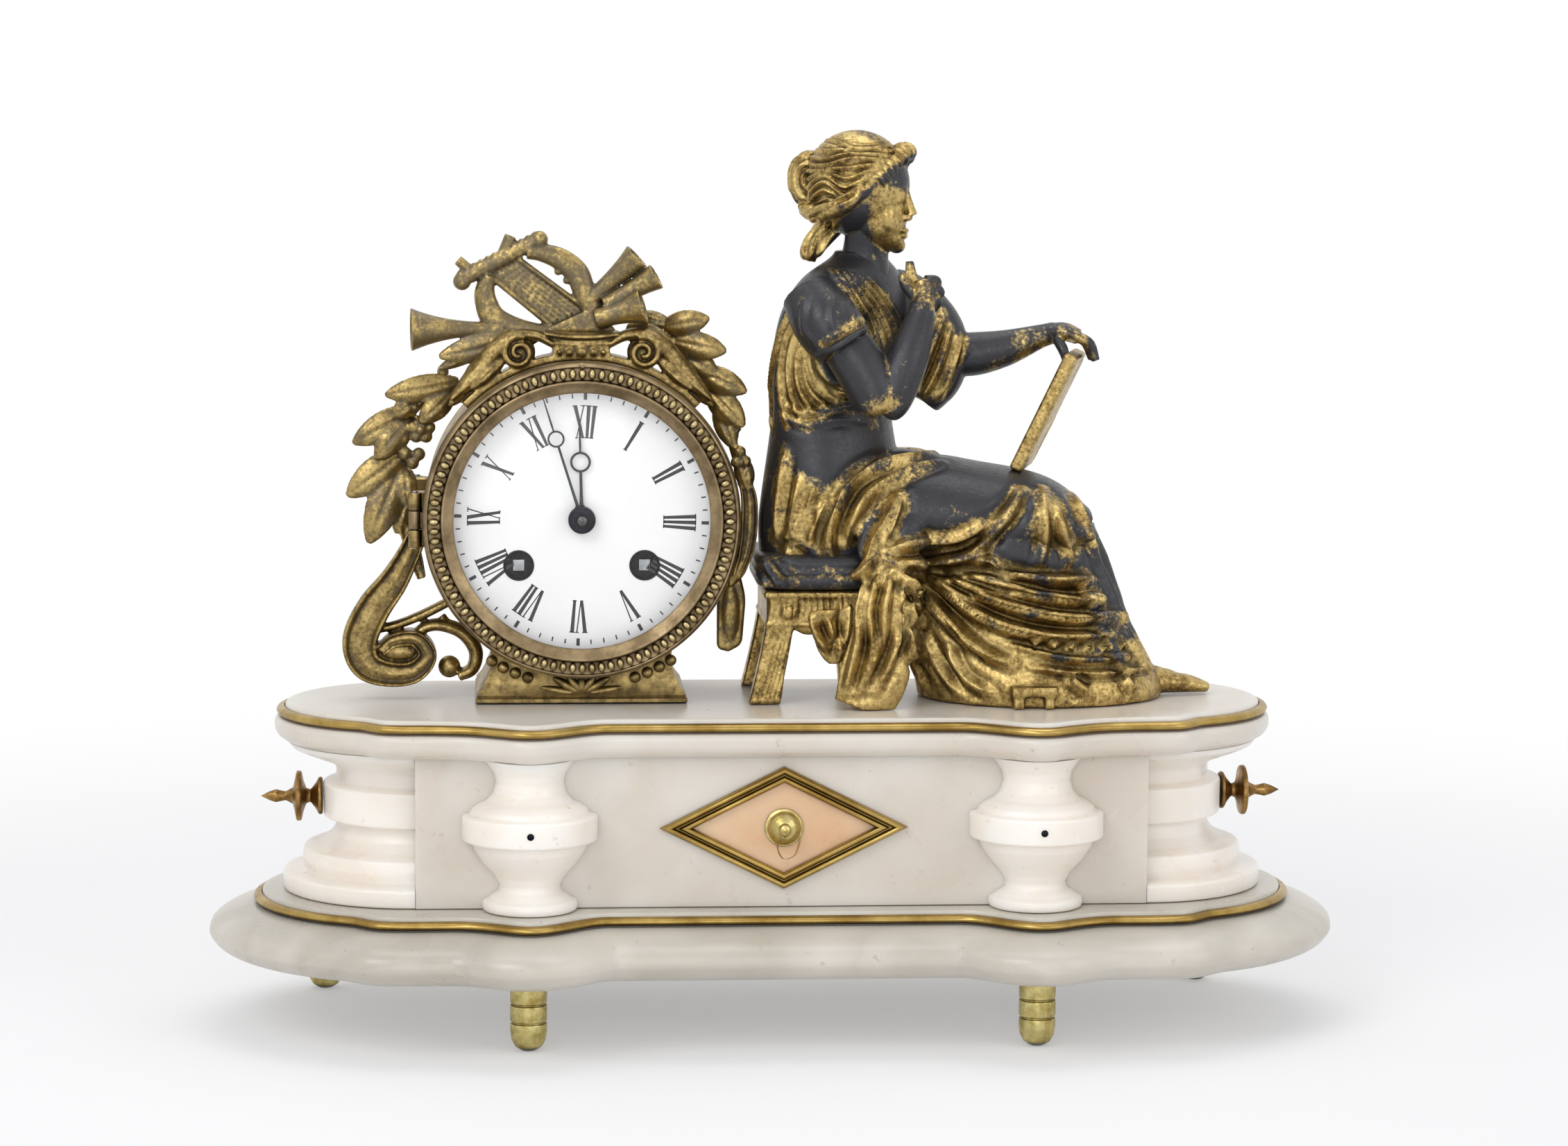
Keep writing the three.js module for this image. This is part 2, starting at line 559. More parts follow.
const clockPart = new THREE.Group();
const base = new THREE.Group();
piece(base, 'lower_slab', lowerSlab(), ALABASTER);
piece(base, 'lower_string', stringStrip(lowerEdge, LOWER_LEDGE), BRASS);
piece(base, 'frieze_block', frieze(), ALABASTER);
piece(base, 'lozenge_panel', lozengePanel(), INLAY);
piece(base, 'lozenge_frame', lozengeFrame(), BRASS);
piece(base, 'lozenge_boss', lozengeBoss(), BRASS);
piece(base, 'upper_slab', upperSlab(), ALABASTER);
piece(base, 'upper_string', stringStrip(upperEdge, UPPER_LEDGE), BRASS);
piece(base, 'drum_tie_bolt', tieBolt(DRUM_BOLT), STEEL);
piece(base, 'figure_tie_bolt', tieBolt(FIGURE_BOLT), STEEL);
[['left', -1], ['right', 1]].forEach(([hand, side]) => {
  piece(base, `${hand}_end_column`, endColumn(side), ALABASTER);
  piece(base, `${hand}_baluster`, baluster(side), ALABASTER);
  piece(base, `${hand}_finial`, finial(side), BRASS);
  const front = STONE_Y - LOWER_RADIUS + FRONT_FOOT_INSET;
  const back = STONE_Y + LOWER_RADIUS - BACK_FOOT_INSET;
  piece(base, `front_${hand}_foot`, foot(side * FRONT_FOOT_X, front), BRASS);
  piece(base, `back_${hand}_foot`, foot(side * BACK_FOOT_X, back), BRASS);
});
clockPart.add(base);

// Clock: everything below stands round the dial axis, with +Y towards the back and 0 at the drum's front face

const HINGE_X = -DRUM_RADIUS - HINGE_OUT;
const BEZEL_HINGE_Y = -KNUCKLE_RADIUS - SEAT_GAP;
const DOOR_BACK = DRUM_DEPTH + SEAT_GAP + DOOR_THICKNESS;
const DOOR_HINGE_Y = DRUM_DEPTH + SEAT_GAP + KNUCKLE_RADIUS;
const PEDESTAL_BASE = -DIAL_RISE + SEAT_GAP;

// A hinge knuckle with its arm: the arm reaches to x, and the bore takes the pin.
function knuckle(y, z0, z1, armTo) {
  const armHalf = KNUCKLE_RADIUS * 0.6;
  const barrel = rodZ(HINGE_X, y, z0, z1, KNUCKLE_RADIUS, 6);
  return join(barrel, block(HINGE_X, armTo, y - armHalf, y + armHalf, z0, z1));
}

const pinBore = (y) => rodZ(HINGE_X, y, -DRUM_RADIUS, DRUM_RADIUS, PIN_RADIUS + RUN_GAP, 6);
const hingePin = (y) => rodZ(HINGE_X, y, -KNUCKLE_LENGTH * 1.5, KNUCKLE_LENGTH * 1.5, PIN_RADIUS, 6);

// The two outer knuckles: each stands on a stem whose foot, between two Y values, lies on the drum.
function drumKnuckles(y, footFrom, footTo) {
  const inner = KNUCKLE_LENGTH / 2 + SEAT_GAP;
  const outer = KNUCKLE_LENGTH * 1.5;
  const half = HINGE_OUT / 2;
  const pieces = [[inner, outer], [-outer, -inner]].flatMap(([z0, z1]) => [
    rodZ(HINGE_X, y, z0, z1, KNUCKLE_RADIUS, 6),
    block(HINGE_X - half, HINGE_X + half, Math.min(y, footFrom), Math.max(y, footTo), z0, z1),
    block(HINGE_X - half, -DRUM_RADIUS + DRUM_WALL / 2, footFrom, footTo, z0, z1),
  ]);
  return join(...pieces);
}

function drumCase() {
  const inside = DRUM_RADIUS - DRUM_WALL;
  const shell = turnedY([[SEAT_RING_RADIUS, 0], [DRUM_RADIUS, 0], [DRUM_RADIUS, DRUM_DEPTH],
    [inside, DRUM_DEPTH],
    [inside, SEAT_RING_DEPTH], [SEAT_RING_RADIUS, SEAT_RING_DEPTH], [SEAT_RING_RADIUS, 0]], 22);
  const waist = PEDESTAL_BASE + PEDESTAL_HEIGHT;
  const plinth = PEDESTAL_BASE + PEDESTAL_PLINTH;
  const outline = new THREE.Shape();
  outline.moveTo(-PEDESTAL_HALF_WIDTH, PEDESTAL_BASE);
  outline.lineTo(PEDESTAL_HALF_WIDTH, PEDESTAL_BASE);
  outline.lineTo(PEDESTAL_HALF_WIDTH, plinth);
  outline.quadraticCurveTo(PEDESTAL_WAIST - 2, plinth + 1, PEDESTAL_WAIST, waist);
  outline.lineTo(-PEDESTAL_WAIST, waist);
  outline.quadraticCurveTo(-PEDESTAL_WAIST + 2, plinth + 1, -PEDESTAL_HALF_WIDTH, plinth);
  const pedestal = plate(outline, -PEDESTAL_FRONT, PEDESTAL_DEPTH - PEDESTAL_FRONT, 3);
  const bore = turnedY([[0, -BEZEL_DEPTH], [DRUM_RADIUS + 1, -BEZEL_DEPTH], [DRUM_RADIUS + 1, 0],
    [DRUM_RADIUS - 1, 0], [DRUM_RADIUS - 1, DRUM_DEPTH], [0, DRUM_DEPTH]], 22);
  const bolt = rodZ(DRUM_BOLT.x - DRUM_X, DRUM_BOLT.y - DRUM_FRONT_Y, -DIAL_RISE - 1,
    -DIAL_RISE + BOLT_REACH + RUN_GAP, BOLT_RADIUS + RUN_GAP, 8);
  const body = join(cut(pedestal, bore, bolt), shell, drumKnuckles(BEZEL_HINGE_Y, 0, KNUCKLE_LENGTH),
    drumKnuckles(DOOR_HINGE_Y, DRUM_DEPTH - KNUCKLE_LENGTH, DRUM_DEPTH));
  return cut(body, pinBore(BEZEL_HINGE_Y), pinBore(DOOR_HINGE_Y));
}

function bezel() {
  const back = -SEAT_GAP;
  const front = back - BEZEL_DEPTH;
  const lip = front + LIP_THICKNESS;
  const ring = turnedY([[REBATE_RADIUS, back], [BEZEL_RADIUS - 0.5, back], [BEZEL_RADIUS, back - 1],
    [BEZEL_RADIUS, back - BEZEL_DEPTH * 0.3], [BEZEL_RADIUS - 2, front + 2.4],
    [BEZEL_RADIUS - 5, front + 1.8], [BEZEL_RADIUS - 6.8, front],
    [SIGHT_RADIUS, lip - 0.6], [SIGHT_RADIUS, lip], [REBATE_RADIUS, lip],
    [REBATE_RADIUS, back]], 22);
  const half = KNUCKLE_LENGTH / 2;
  const arm = knuckle(BEZEL_HINGE_Y, -half, half, -BEZEL_RADIUS + 2);
  return cut(join(ring, arm), pinBore(BEZEL_HINGE_Y));
}

function glass() {
  const seat = -SEAT_GAP - BEZEL_DEPTH + LIP_THICKNESS + SEAT_GAP;
  const rim = REBATE_RADIUS - RUN_GAP;
  const flat = SIGHT_RADIUS - 0.6;
  const crown = [1, 0.75, 0.25].map((rise, i) => [(flat * i) / 2.4, seat - GLASS_RISE * rise]);
  const inner = crown.map(([r, y]) => [r, y + GLASS_THICKNESS]).reverse();
  return turnedY([...crown, [flat, seat], [rim, seat], [rim, seat + GLASS_THICKNESS],
    [flat, seat + GLASS_THICKNESS], ...inner], 11);
}

function backDoor() {
  const front = DRUM_DEPTH + SEAT_GAP;
  const back = DOOR_BACK;
  const rim = DRUM_RADIUS - 0.6;
  const cover = turnedY([[0, front], [rim, front], [rim, back], [rim - 2.5, back + DOOR_RIM],
    [rim - 5, back],
    [DOOR_KNOB * 0.6, back], [DOOR_KNOB, back + 2.6], [0, back + 3]], 14);
  const half = KNUCKLE_LENGTH / 2;
  return cut(join(cover, knuckle(DOOR_HINGE_Y, -half, half, -rim + 4)), pinBore(DOOR_HINGE_Y));
}

// Dial, hands and motion work

const DIAL_BACK = -SEAT_GAP;
const DIAL_FRONT = DIAL_BACK - DIAL_THICKNESS;
const HOUR_BACK = DIAL_FRONT - HAND_GAP;
const MINUTE_BACK = HOUR_BACK - HAND_THICKNESS - HAND_GAP;
const CANNON_RADIUS = 1.6;
const PIPE_BORE = CANNON_RADIUS + RUN_GAP;
const PIPE_RADIUS = PIPE_BORE + 0.7;
const HUB_RADIUS = 4.6;

function dial() {
  const holes = [[0, 0, PIPE_RADIUS + RUN_GAP], [-WINDER_X, -WINDER_DROP, WINDER_HOLE],
    [WINDER_X, -WINDER_DROP, WINDER_HOLE]];
  return plate(disc(DIAL_RADIUS, holes, 24, 8), DIAL_FRONT, DIAL_BACK);
}

// A slim hand with a ring near its end, drawn upright and then turned to its angle.
function hand(reach, ringAt, ringRadius, shaft, bore, back, degrees) {
  const hub = disc(HUB_RADIUS, [[0, 0, bore]], 10, 8);
  const y0 = back - HAND_THICKNESS;
  const stem = plate(polygon([[-shaft, 0], [shaft, 0], [shaft * 0.7, ringAt - ringRadius + 0.4],
    [-shaft * 0.7, ringAt - ringRadius + 0.4]]), y0, back);
  const ring = plate(disc(ringRadius, [[0, 0, ringRadius * 0.68]], 8, 6), y0, back).translate(0, 0,
    ringAt);
  const tip = plate(polygon([[-shaft * 0.9, ringAt + ringRadius - 0.4],
    [shaft * 0.9, ringAt + ringRadius - 0.4],
    [0.15, reach], [-0.15, reach]]), y0, back);
  const clear = rodY(0, 0, y0 - 1, back + 1, bore, 8);
  const turn = radians(degrees);
  const body = join(cut(join(plate(hub, y0, back), stem), clear), ring, tip);
  return asGeometry(body).rotateY(turn);
}

function collet() {
  const back = MINUTE_BACK - HAND_THICKNESS - SEAT_GAP;
  const top = back - COLLET_HEIGHT;
  return turnedY([[0, back], [COLLET_RADIUS, back], [COLLET_RADIUS, back - 0.8],
    [COLLET_RADIUS * 0.7, top + 0.3],
    [1.6, top], [0, top - 0.4]], 12);
}

// Movement: a wheel has pointed teeth of one module, with a tooth centred on its phase angle

const ADDENDUM = 0.9;
const DEDENDUM = 1.2;
const pitchRadius = (teeth, module) => (teeth * module) / 2;
const tipRadius = (teeth, module) => pitchRadius(teeth, module) + ADDENDUM * module;

function toothed(teeth, module, phase) {
  const tip = tipRadius(teeth, module);
  const root = pitchRadius(teeth, module) - DEDENDUM * module;
  const step = (2 * Math.PI) / teeth;
  const points = [];
  for (let i = 0; i < teeth; i += 1) {
    [[root, -0.5], [tip, 0]].forEach(([r, share]) => {
      const angle = phase + (i + share) * step;
      points.push([r * Math.cos(angle), r * Math.sin(angle)]);
    });
  }
  return polygon(points);
}

const wheel = (axis, y0, teeth, module, phase) =>
  plate(toothed(teeth, module, phase), y0, y0 + WHEEL_THICKNESS).translate(axis.x, 0, axis.y);

// An axis placed at meshing distance from another, and the phase that sets its gaps on the other's teeth.
function meshAxis(from, teethA, teethB, module, degrees) {
  const reach = pitchRadius(teethA + teethB, module) + MESH_SLACK;
  return new THREE.Vector2(from.x + reach * Math.cos(radians(degrees)),
    from.y + reach * Math.sin(radians(degrees)));
}

function meshPhase(from, teethA, phaseA, to, teethB) {
  const toward = Math.atan2(to.y - from.y, to.x - from.x);
  return toward + Math.PI - ((phaseA - toward) * teethA) / teethB + Math.PI / teethB;
}

// Tooth counts
const GREAT = 32;
const SECOND_PINION = 9;
const SECOND = 24;
const CENTRE_PINION = 7;
const CENTRE = 24;
const THIRD_PINION = 6;
const THIRD = 22;
const ESCAPE_PINION = 6;
const ESCAPE = 15;
const CANNON = 6;
const MINUTE = 18;
const MINUTE_PINION = 6;
const HOUR = 24;

// Arbor axes, seen from the front with x to the right
const CENTRE_AXIS = new THREE.Vector2(0, 0);
const BARREL_GAP = 0.8; // between the two great wheels
const WINDER_X = tipRadius(GREAT, TRAIN_MODULE) + BARREL_GAP / 2;
const WINDER_DROP = PLATE_RADIUS * 0.345;
const BARREL_RADIUS = pitchRadius(GREAT, TRAIN_MODULE) - DEDENDUM * TRAIN_MODULE;
const GOING_AXIS = new THREE.Vector2(WINDER_X, -WINDER_DROP);
const STRIKE_AXIS = new THREE.Vector2(-WINDER_X, -WINDER_DROP);
const SECOND_AXIS = crossing(GOING_AXIS, pitchRadius(GREAT + SECOND_PINION, TRAIN_MODULE) + MESH_SLACK,
  CENTRE_AXIS, pitchRadius(SECOND + CENTRE_PINION, TRAIN_MODULE) + MESH_SLACK);
const THIRD_AXIS = meshAxis(CENTRE_AXIS, CENTRE, THIRD_PINION, TRAIN_MODULE, 118);
const ESCAPE_AXIS = meshAxis(THIRD_AXIS, THIRD, ESCAPE_PINION, FINE_MODULE, 53);
const MINUTE_AXIS = meshAxis(CENTRE_AXIS, CANNON, MINUTE, FINE_MODULE, 90);
const COUNT_AXIS = meshAxis(STRIKE_AXIS, GREAT, SECOND_PINION, TRAIN_MODULE, 105);
const HAMMER_AXIS = new THREE.Vector2(-0.705, 0.58).multiplyScalar(PLATE_RADIUS);
const ESCAPE_RADIUS = PLATE_RADIUS / 6;
const ANCHOR_AXIS = new THREE.Vector2(ESCAPE_AXIS.x, ESCAPE_AXIS.y + ESCAPE_RADIUS * 1.45);

// The point, on the right, at given distances from two others.
function crossing(a, reachA, b, reachB) {
  const gap = a.distanceTo(b);
  const along = (reachA ** 2 - reachB ** 2 + gap ** 2) / (2 * gap);
  const off = Math.sqrt(reachA ** 2 - along ** 2);
  const way = b.clone().sub(a).divideScalar(gap);
  return new THREE.Vector2(a.x + way.x * along + way.y * off, a.y + way.y * along - way.x * off);
}

const PILLAR_DEGREES = [270, 14, 54, 184];
const arborHole = (axis, radius) => [axis.x, axis.y, radius + RUN_GAP];
const plainArbors = [SECOND_AXIS, THIRD_AXIS, ESCAPE_AXIS, COUNT_AXIS, HAMMER_AXIS, ANCHOR_AXIS,
  CENTRE_AXIS];
const plateHoles = [...plainArbors.map((axis) => arborHole(axis, ARBOR_RADIUS)),
  arborHole(GOING_AXIS, BARREL_ARBOR), arborHole(STRIKE_AXIS, BARREL_ARBOR)];

function frontPlate() {
  const flat = plate(disc(PLATE_RADIUS, plateHoles, 18, 7), FRONT_PLATE, TRAIN_FRONT);
  const pillars = PILLAR_DEGREES.map((degrees) => rodY(PILLAR_CIRCLE * Math.cos(radians(degrees)),
    PILLAR_CIRCLE * Math.sin(radians(degrees)), FRONT_PLATE, BACK_PLATE - SEAT_GAP, PILLAR_RADIUS, 6));
  const stud = rodY(MINUTE_AXIS.x, MINUTE_AXIS.y, HOUR_LEVEL, TRAIN_FRONT, ARBOR_RADIUS * 0.8, 8);
  return join(flat, stud, ...pillars);
}

const backPlate = () => plate(disc(PLATE_RADIUS, plateHoles, 18, 7), BACK_PLATE, PLATE_BACK);

// An arbor that runs in both plates.
const arbor = (axis, back = PLATE_BACK) => rodY(axis.x, axis.y, FRONT_PLATE, back, ARBOR_RADIUS, 6);

function barrel(axis, phase) {
  const drum = rodY(axis.x, axis.y, GREAT_LEVEL, BARREL_BACK, BARREL_RADIUS, 12);
  const body = join(drum, wheel(axis, GREAT_LEVEL, GREAT, TRAIN_MODULE, phase));
  return cut(body, rodY(axis.x, axis.y, 0, PLATE_BACK, BARREL_ARBOR + RUN_GAP, 8));
}

function windingArbor(axis) {
  const half = WINDER_SQUARE / 2;
  const square = block(axis.x - half, axis.x + half, DIAL_FRONT + 1, FRONT_PLATE, axis.y - half,
    axis.y + half);
  return join(square, rodY(axis.x, axis.y, FRONT_PLATE - 1, PLATE_BACK, BARREL_ARBOR, 8));
}

const GREAT_PHASE = 0;
const secondPinionPhase = meshPhase(GOING_AXIS, GREAT, GREAT_PHASE, SECOND_AXIS, SECOND_PINION);
const SECOND_PHASE = 0;
const centrePinionPhase = meshPhase(SECOND_AXIS, SECOND, SECOND_PHASE, CENTRE_AXIS, CENTRE_PINION);
const CENTRE_PHASE = 0;
const thirdPinionPhase = meshPhase(CENTRE_AXIS, CENTRE, CENTRE_PHASE, THIRD_AXIS, THIRD_PINION);
const THIRD_PHASE = 0;
const escapePinionPhase = meshPhase(THIRD_AXIS, THIRD, THIRD_PHASE, ESCAPE_AXIS, ESCAPE_PINION);
const CANNON_PHASE = 0;
const minutePhase = meshPhase(CENTRE_AXIS, CANNON, CANNON_PHASE, MINUTE_AXIS, MINUTE);
const MINUTE_PINION_PHASE = 0;
const hourPhase = meshPhase(MINUTE_AXIS, MINUTE_PINION, MINUTE_PINION_PHASE, CENTRE_AXIS, HOUR);
const countPinionPhase = meshPhase(STRIKE_AXIS, GREAT, GREAT_PHASE, COUNT_AXIS, SECOND_PINION);

// The centre arbor carries its wheel and pinion, the cannon pinion and the pipe of the minute hand.
function centreArbor() {
  return join(arbor(CENTRE_AXIS), wheel(CENTRE_AXIS, SECOND_LEVEL, CENTRE_PINION, TRAIN_MODULE,
    centrePinionPhase),
    wheel(CENTRE_AXIS, CENTRE_LEVEL, CENTRE, TRAIN_MODULE, CENTRE_PHASE),
    wheel(CENTRE_AXIS, MINUTE_LEVEL, CANNON, FINE_MODULE, CANNON_PHASE),
    rodY(0, 0, MINUTE_BACK - HAND_THICKNESS, FRONT_PLATE - SEAT_GAP, CANNON_RADIUS, 8),
    rodY(0, 0, FRONT_PLATE - PLATE_THICKNESS, TRAIN_FRONT, ARBOR_RADIUS, 6));
}

function secondWheel() {
  return join(arbor(SECOND_AXIS), wheel(SECOND_AXIS, GREAT_LEVEL, SECOND_PINION, TRAIN_MODULE,
    secondPinionPhase),
    wheel(SECOND_AXIS, SECOND_LEVEL, SECOND, TRAIN_MODULE, SECOND_PHASE));
}

function thirdWheel() {
  return join(arbor(THIRD_AXIS), wheel(THIRD_AXIS, CENTRE_LEVEL, THIRD_PINION, TRAIN_MODULE,
    thirdPinionPhase),
    wheel(THIRD_AXIS, THIRD_LEVEL, THIRD, FINE_MODULE, THIRD_PHASE));
}

// Ratchet-like teeth, each leaning forward to a point.
function escapeWheel() {
  const step = (2 * Math.PI) / ESCAPE;
  const root = ESCAPE_RADIUS * 0.74;
  const points = [];
  for (let i = 0; i < ESCAPE; i += 1) {
    [[root, 0], [ESCAPE_RADIUS, 0.75], [root, 0.85]].forEach(([r, share]) => {
      points.push([r * Math.cos((i + share) * step), r * Math.sin((i + share) * step)]);
    });
  }
  const teeth = plate(polygon(points), ESCAPE_LEVEL, ESCAPE_LEVEL + WHEEL_THICKNESS);
  return join(arbor(ESCAPE_AXIS), teeth.translate(ESCAPE_AXIS.x, 0, ESCAPE_AXIS.y),
    wheel(ESCAPE_AXIS, THIRD_LEVEL, ESCAPE_PINION, FINE_MODULE, escapePinionPhase));
}

const SUSPENSION = ANCHOR_AXIS;
const ROD_HALF = 1.5;
const CRUTCH_DROP = PLATE_RADIUS * 0.52;

// The anchor spans the escape wheel, and its crutch holds the pendulum rod between two prongs.
function anchor() {
  const { x, y: z } = ANCHOR_AXIS;
  const span = ESCAPE_RADIUS * 0.8;
  const low = ESCAPE_AXIS.y - z + span;
  const arms = polygon([[-2, 1.6], [2, 1.6], [span + 1.6, low + 1.6], [span + 0.8, low - 0.4],
    [span - 0.3, low + 0.4],
    [1.2, -1.4], [-1.2, -1.4], [-span + 0.3, low + 0.4], [-span - 0.8, low - 0.4],
      [-span - 1.6, low + 1.6]]);
  const back = CRUTCH_LEVEL + 1.2;
  const stem = plate(polygon([[-1.4, 1.4], [1.4, 1.4], [1, -CRUTCH_DROP], [-1, -CRUTCH_DROP]]),
    CRUTCH_LEVEL, back);
  const fork = block(-4, 4, CRUTCH_LEVEL, back, -CRUTCH_DROP - 1.4, -CRUTCH_DROP);
  const prongs = [-1, 1].map((side) => block(Math.min(side * 2.2, side * 3.6),
    Math.max(side * 2.2, side * 3.6),
    CRUTCH_LEVEL, ROD_LEVEL + 1.6, -CRUTCH_DROP - 1.4, -CRUTCH_DROP));
  const rocking = [plate(arms, ESCAPE_LEVEL, ESCAPE_LEVEL + WHEEL_THICKNESS), stem, fork, ...prongs]
    .map((geometry) => geometry.translate(x, 0, z));
  return join(arbor(ANCHOR_AXIS, back), ...rocking);
}

function pendulum() {
  const { x, y: z } = SUSPENSION;
  const bobZ = z - BOB_DROP;
  const rod = block(x - ROD_HALF, x + ROD_HALF, ROD_LEVEL, ROD_LEVEL + ROD_THICKNESS,
    bobZ - BOB_RADIUS - 3, z + 1.6);
  const middle = ROD_LEVEL + ROD_THICKNESS / 2;
  const half = BOB_THICKNESS / 2;
  const lens = turnedY([[0, middle - half], [BOB_RADIUS * 0.6, middle - half * 0.75],
    [BOB_RADIUS, middle - 0.5],
    [BOB_RADIUS, middle + 0.5], [BOB_RADIUS * 0.6, middle + half * 0.75], [0, middle + half]], 14);
  return join(rod, lens.translate(x, 0, bobZ));
}

function suspensionCock() {
  const { x, y: z } = SUSPENSION;
  const low = z + 1.6 + SEAT_GAP;
  return block(x - 4, x + 4, PLATE_BACK + SEAT_GAP, ROD_LEVEL + 3, low, low + 3.4);
}

function minuteWheel() {
  const teeth = join(wheel(MINUTE_AXIS, MINUTE_LEVEL, MINUTE, FINE_MODULE, minutePhase),
    plate(toothed(MINUTE_PINION, HOUR_MODULE, MINUTE_PINION_PHASE), HOUR_LEVEL, MINUTE_LEVEL)
      .translate(MINUTE_AXIS.x, 0, MINUTE_AXIS.y));
  return cut(teeth, rodY(MINUTE_AXIS.x, MINUTE_AXIS.y, 0, FRONT_PLATE, ARBOR_RADIUS * 0.8 + RUN_GAP,
    8));
}

function hourWheel() {
  const pipe = rodY(0, 0, HOUR_BACK - HAND_THICKNESS, HOUR_LEVEL, PIPE_RADIUS, 10);
  const body = join(pipe, wheel(CENTRE_AXIS, HOUR_LEVEL, HOUR, HOUR_MODULE, hourPhase));
  return cut(body, rodY(0, 0, -BEZEL_DEPTH, FRONT_PLATE, PIPE_BORE, 10));
}

const COUNT_RADIUS = PLATE_RADIUS * 0.26;

// The count disc behind the back plate, on an arbor that the strike barrel drives.
function countWheel() {
  const count = new THREE.Shape();
  for (let hour = 1, sum = 0; hour <= 12; hour += 1) {
    const from = (2 * Math.PI * sum) / 90;
    sum += hour + 1;
    const to = (2 * Math.PI * (sum - 0.8)) / 90;
    count.absarc(0, 0, COUNT_RADIUS, from, to);
    count.lineTo(COUNT_RADIUS * 0.86 * Math.cos(to), COUNT_RADIUS * 0.86 * Math.sin(to));
    const next = (2 * Math.PI * sum) / 90;
    count.lineTo(COUNT_RADIUS * 0.86 * Math.cos(next), COUNT_RADIUS * 0.86 * Math.sin(next));
  }
  const notched = plate(count, COUNT_LEVEL, COUNT_LEVEL + 1.2, 1).translate(COUNT_AXIS.x, 0,
    COUNT_AXIS.y);
  return join(arbor(COUNT_AXIS, COUNT_LEVEL + 1.2), notched,
    wheel(COUNT_AXIS, GREAT_LEVEL, SECOND_PINION, TRAIN_MODULE, countPinionPhase));
}

const HAMMER_HEAD = 3;
const HAMMER_DEGREES = 115; // where its head meets the bell

// The hammer's arm lies behind the back plate, and its head stands just clear of the bell's rim.
function hammer() {
  const reach = BELL_RADIUS + HAMMER_HEAD + 0.8;
  const head = new THREE.Vector2(reach * Math.cos(radians(HAMMER_DEGREES)),
    reach * Math.sin(radians(HAMMER_DEGREES)));
  const level = COUNT_LEVEL + 1.8;
  const way = head.clone().sub(HAMMER_AXIS);
  const arm = new THREE.BoxGeometry(way.length(), 1.4, 2.4).rotateY(-way.angle())
    .translate((head.x + HAMMER_AXIS.x) / 2, level + 0.7, (head.y + HAMMER_AXIS.y) / 2);
  return join(arbor(HAMMER_AXIS, level + 1.4), arm,
    rodY(head.x, head.y, level, BELL_RIM + 4, HAMMER_HEAD, 12));
}

function bell() {
  const rise = [[1, 0], [0.95, 0.4], [0.7, 0.8], [0.3, 0.97]];
  const outside = rise.map(([r, h]) => [BELL_RADIUS * r, BELL_RIM + BELL_DEPTH * h]);
  const bore = ARBOR_RADIUS + RUN_GAP;
  const crown = BELL_RIM + BELL_DEPTH;
  const inside = rise.map(([r, h]) => [(BELL_RADIUS - BELL_WALL) * r,
    BELL_RIM + (BELL_DEPTH - BELL_WALL) * h]);
  const profile = [...outside, [bore, crown], [bore, crown - BELL_WALL], ...inside.reverse(),
    outside[0]];
  return turnedY(profile, 12);
}

const STAND_FOOT = new THREE.Vector2(-0.34, -0.41).multiplyScalar(PLATE_RADIUS);

// A post on the back plate, and an arm under the bell to the stud that carries it.
function bellStand() {
  const under = BELL_RIM + BELL_DEPTH - BELL_WALL - SEAT_GAP;
  const level = BELL_RIM + 2;
  const arm = new THREE.BoxGeometry(STAND_FOOT.length(), 2, 4).rotateY(-STAND_FOOT.angle())
    .translate(STAND_FOOT.x / 2, level + 1, STAND_FOOT.y / 2);
  return join(rodY(STAND_FOOT.x, STAND_FOOT.y, PLATE_BACK + SEAT_GAP, level + 2, 2, 8), arm,
    rodY(0, 0, level, under, 2.4, 8), rodY(0, 0, level, under + BELL_WALL + 2, ARBOR_RADIUS, 6));
}

const clock = new THREE.Group();
clock.position.set(DRUM_X, DRUM_FRONT_Y, SLAB_TOP + DIAL_RISE);
piece(clock, 'drum_case', drumCase(), GILT);
piece(clock, 'front_bezel', bezel(), GILT);
piece(clock, 'bezel_glass', glass(), CRYSTAL);
piece(clock, 'bezel_hinge_pin', hingePin(BEZEL_HINGE_Y), STEEL);
piece(clock, 'back_door', backDoor(), BRASS);
piece(clock, 'back_hinge_pin', hingePin(DOOR_HINGE_Y), STEEL);
piece(clock, 'dial', dial(), ENAMEL);
const hourBore = PIPE_RADIUS + SEAT_GAP;
const minuteBore = CANNON_RADIUS + SEAT_GAP;
piece(clock, 'hour_hand', hand(HOUR_REACH, HOUR_RING_AT, 3.4, 0.75, hourBore, HOUR_BACK, HOUR_ANGLE),
  BLUED);
piece(clock, 'minute_hand', hand(MINUTE_REACH, MINUTE_RING_AT, 2.9, 0.65, minuteBore, MINUTE_BACK,
  MINUTE_ANGLE), BLUED);
piece(clock, 'hand_collet', collet(), STEEL);
piece(clock, 'front_plate', frontPlate(), BRASS);
piece(clock, 'back_plate', backPlate(), BRASS);
piece(clock, 'going_barrel', barrel(GOING_AXIS, GREAT_PHASE), BRASS);
piece(clock, 'strike_barrel', barrel(STRIKE_AXIS, GREAT_PHASE), BRASS);
piece(clock, 'going_arbor', windingArbor(GOING_AXIS), STEEL);
piece(clock, 'strike_arbor', windingArbor(STRIKE_AXIS), STEEL);
piece(clock, 'centre_arbor', centreArbor(), BRASS);
piece(clock, 'second_wheel', secondWheel(), BRASS);
piece(clock, 'third_wheel', thirdWheel(), BRASS);
piece(clock, 'escape_wheel', escapeWheel(), BRASS);
piece(clock, 'anchor', anchor(), STEEL);
piece(clock, 'pendulum', pendulum(), BRASS);
piece(clock, 'suspension_cock', suspensionCock(), BRASS);
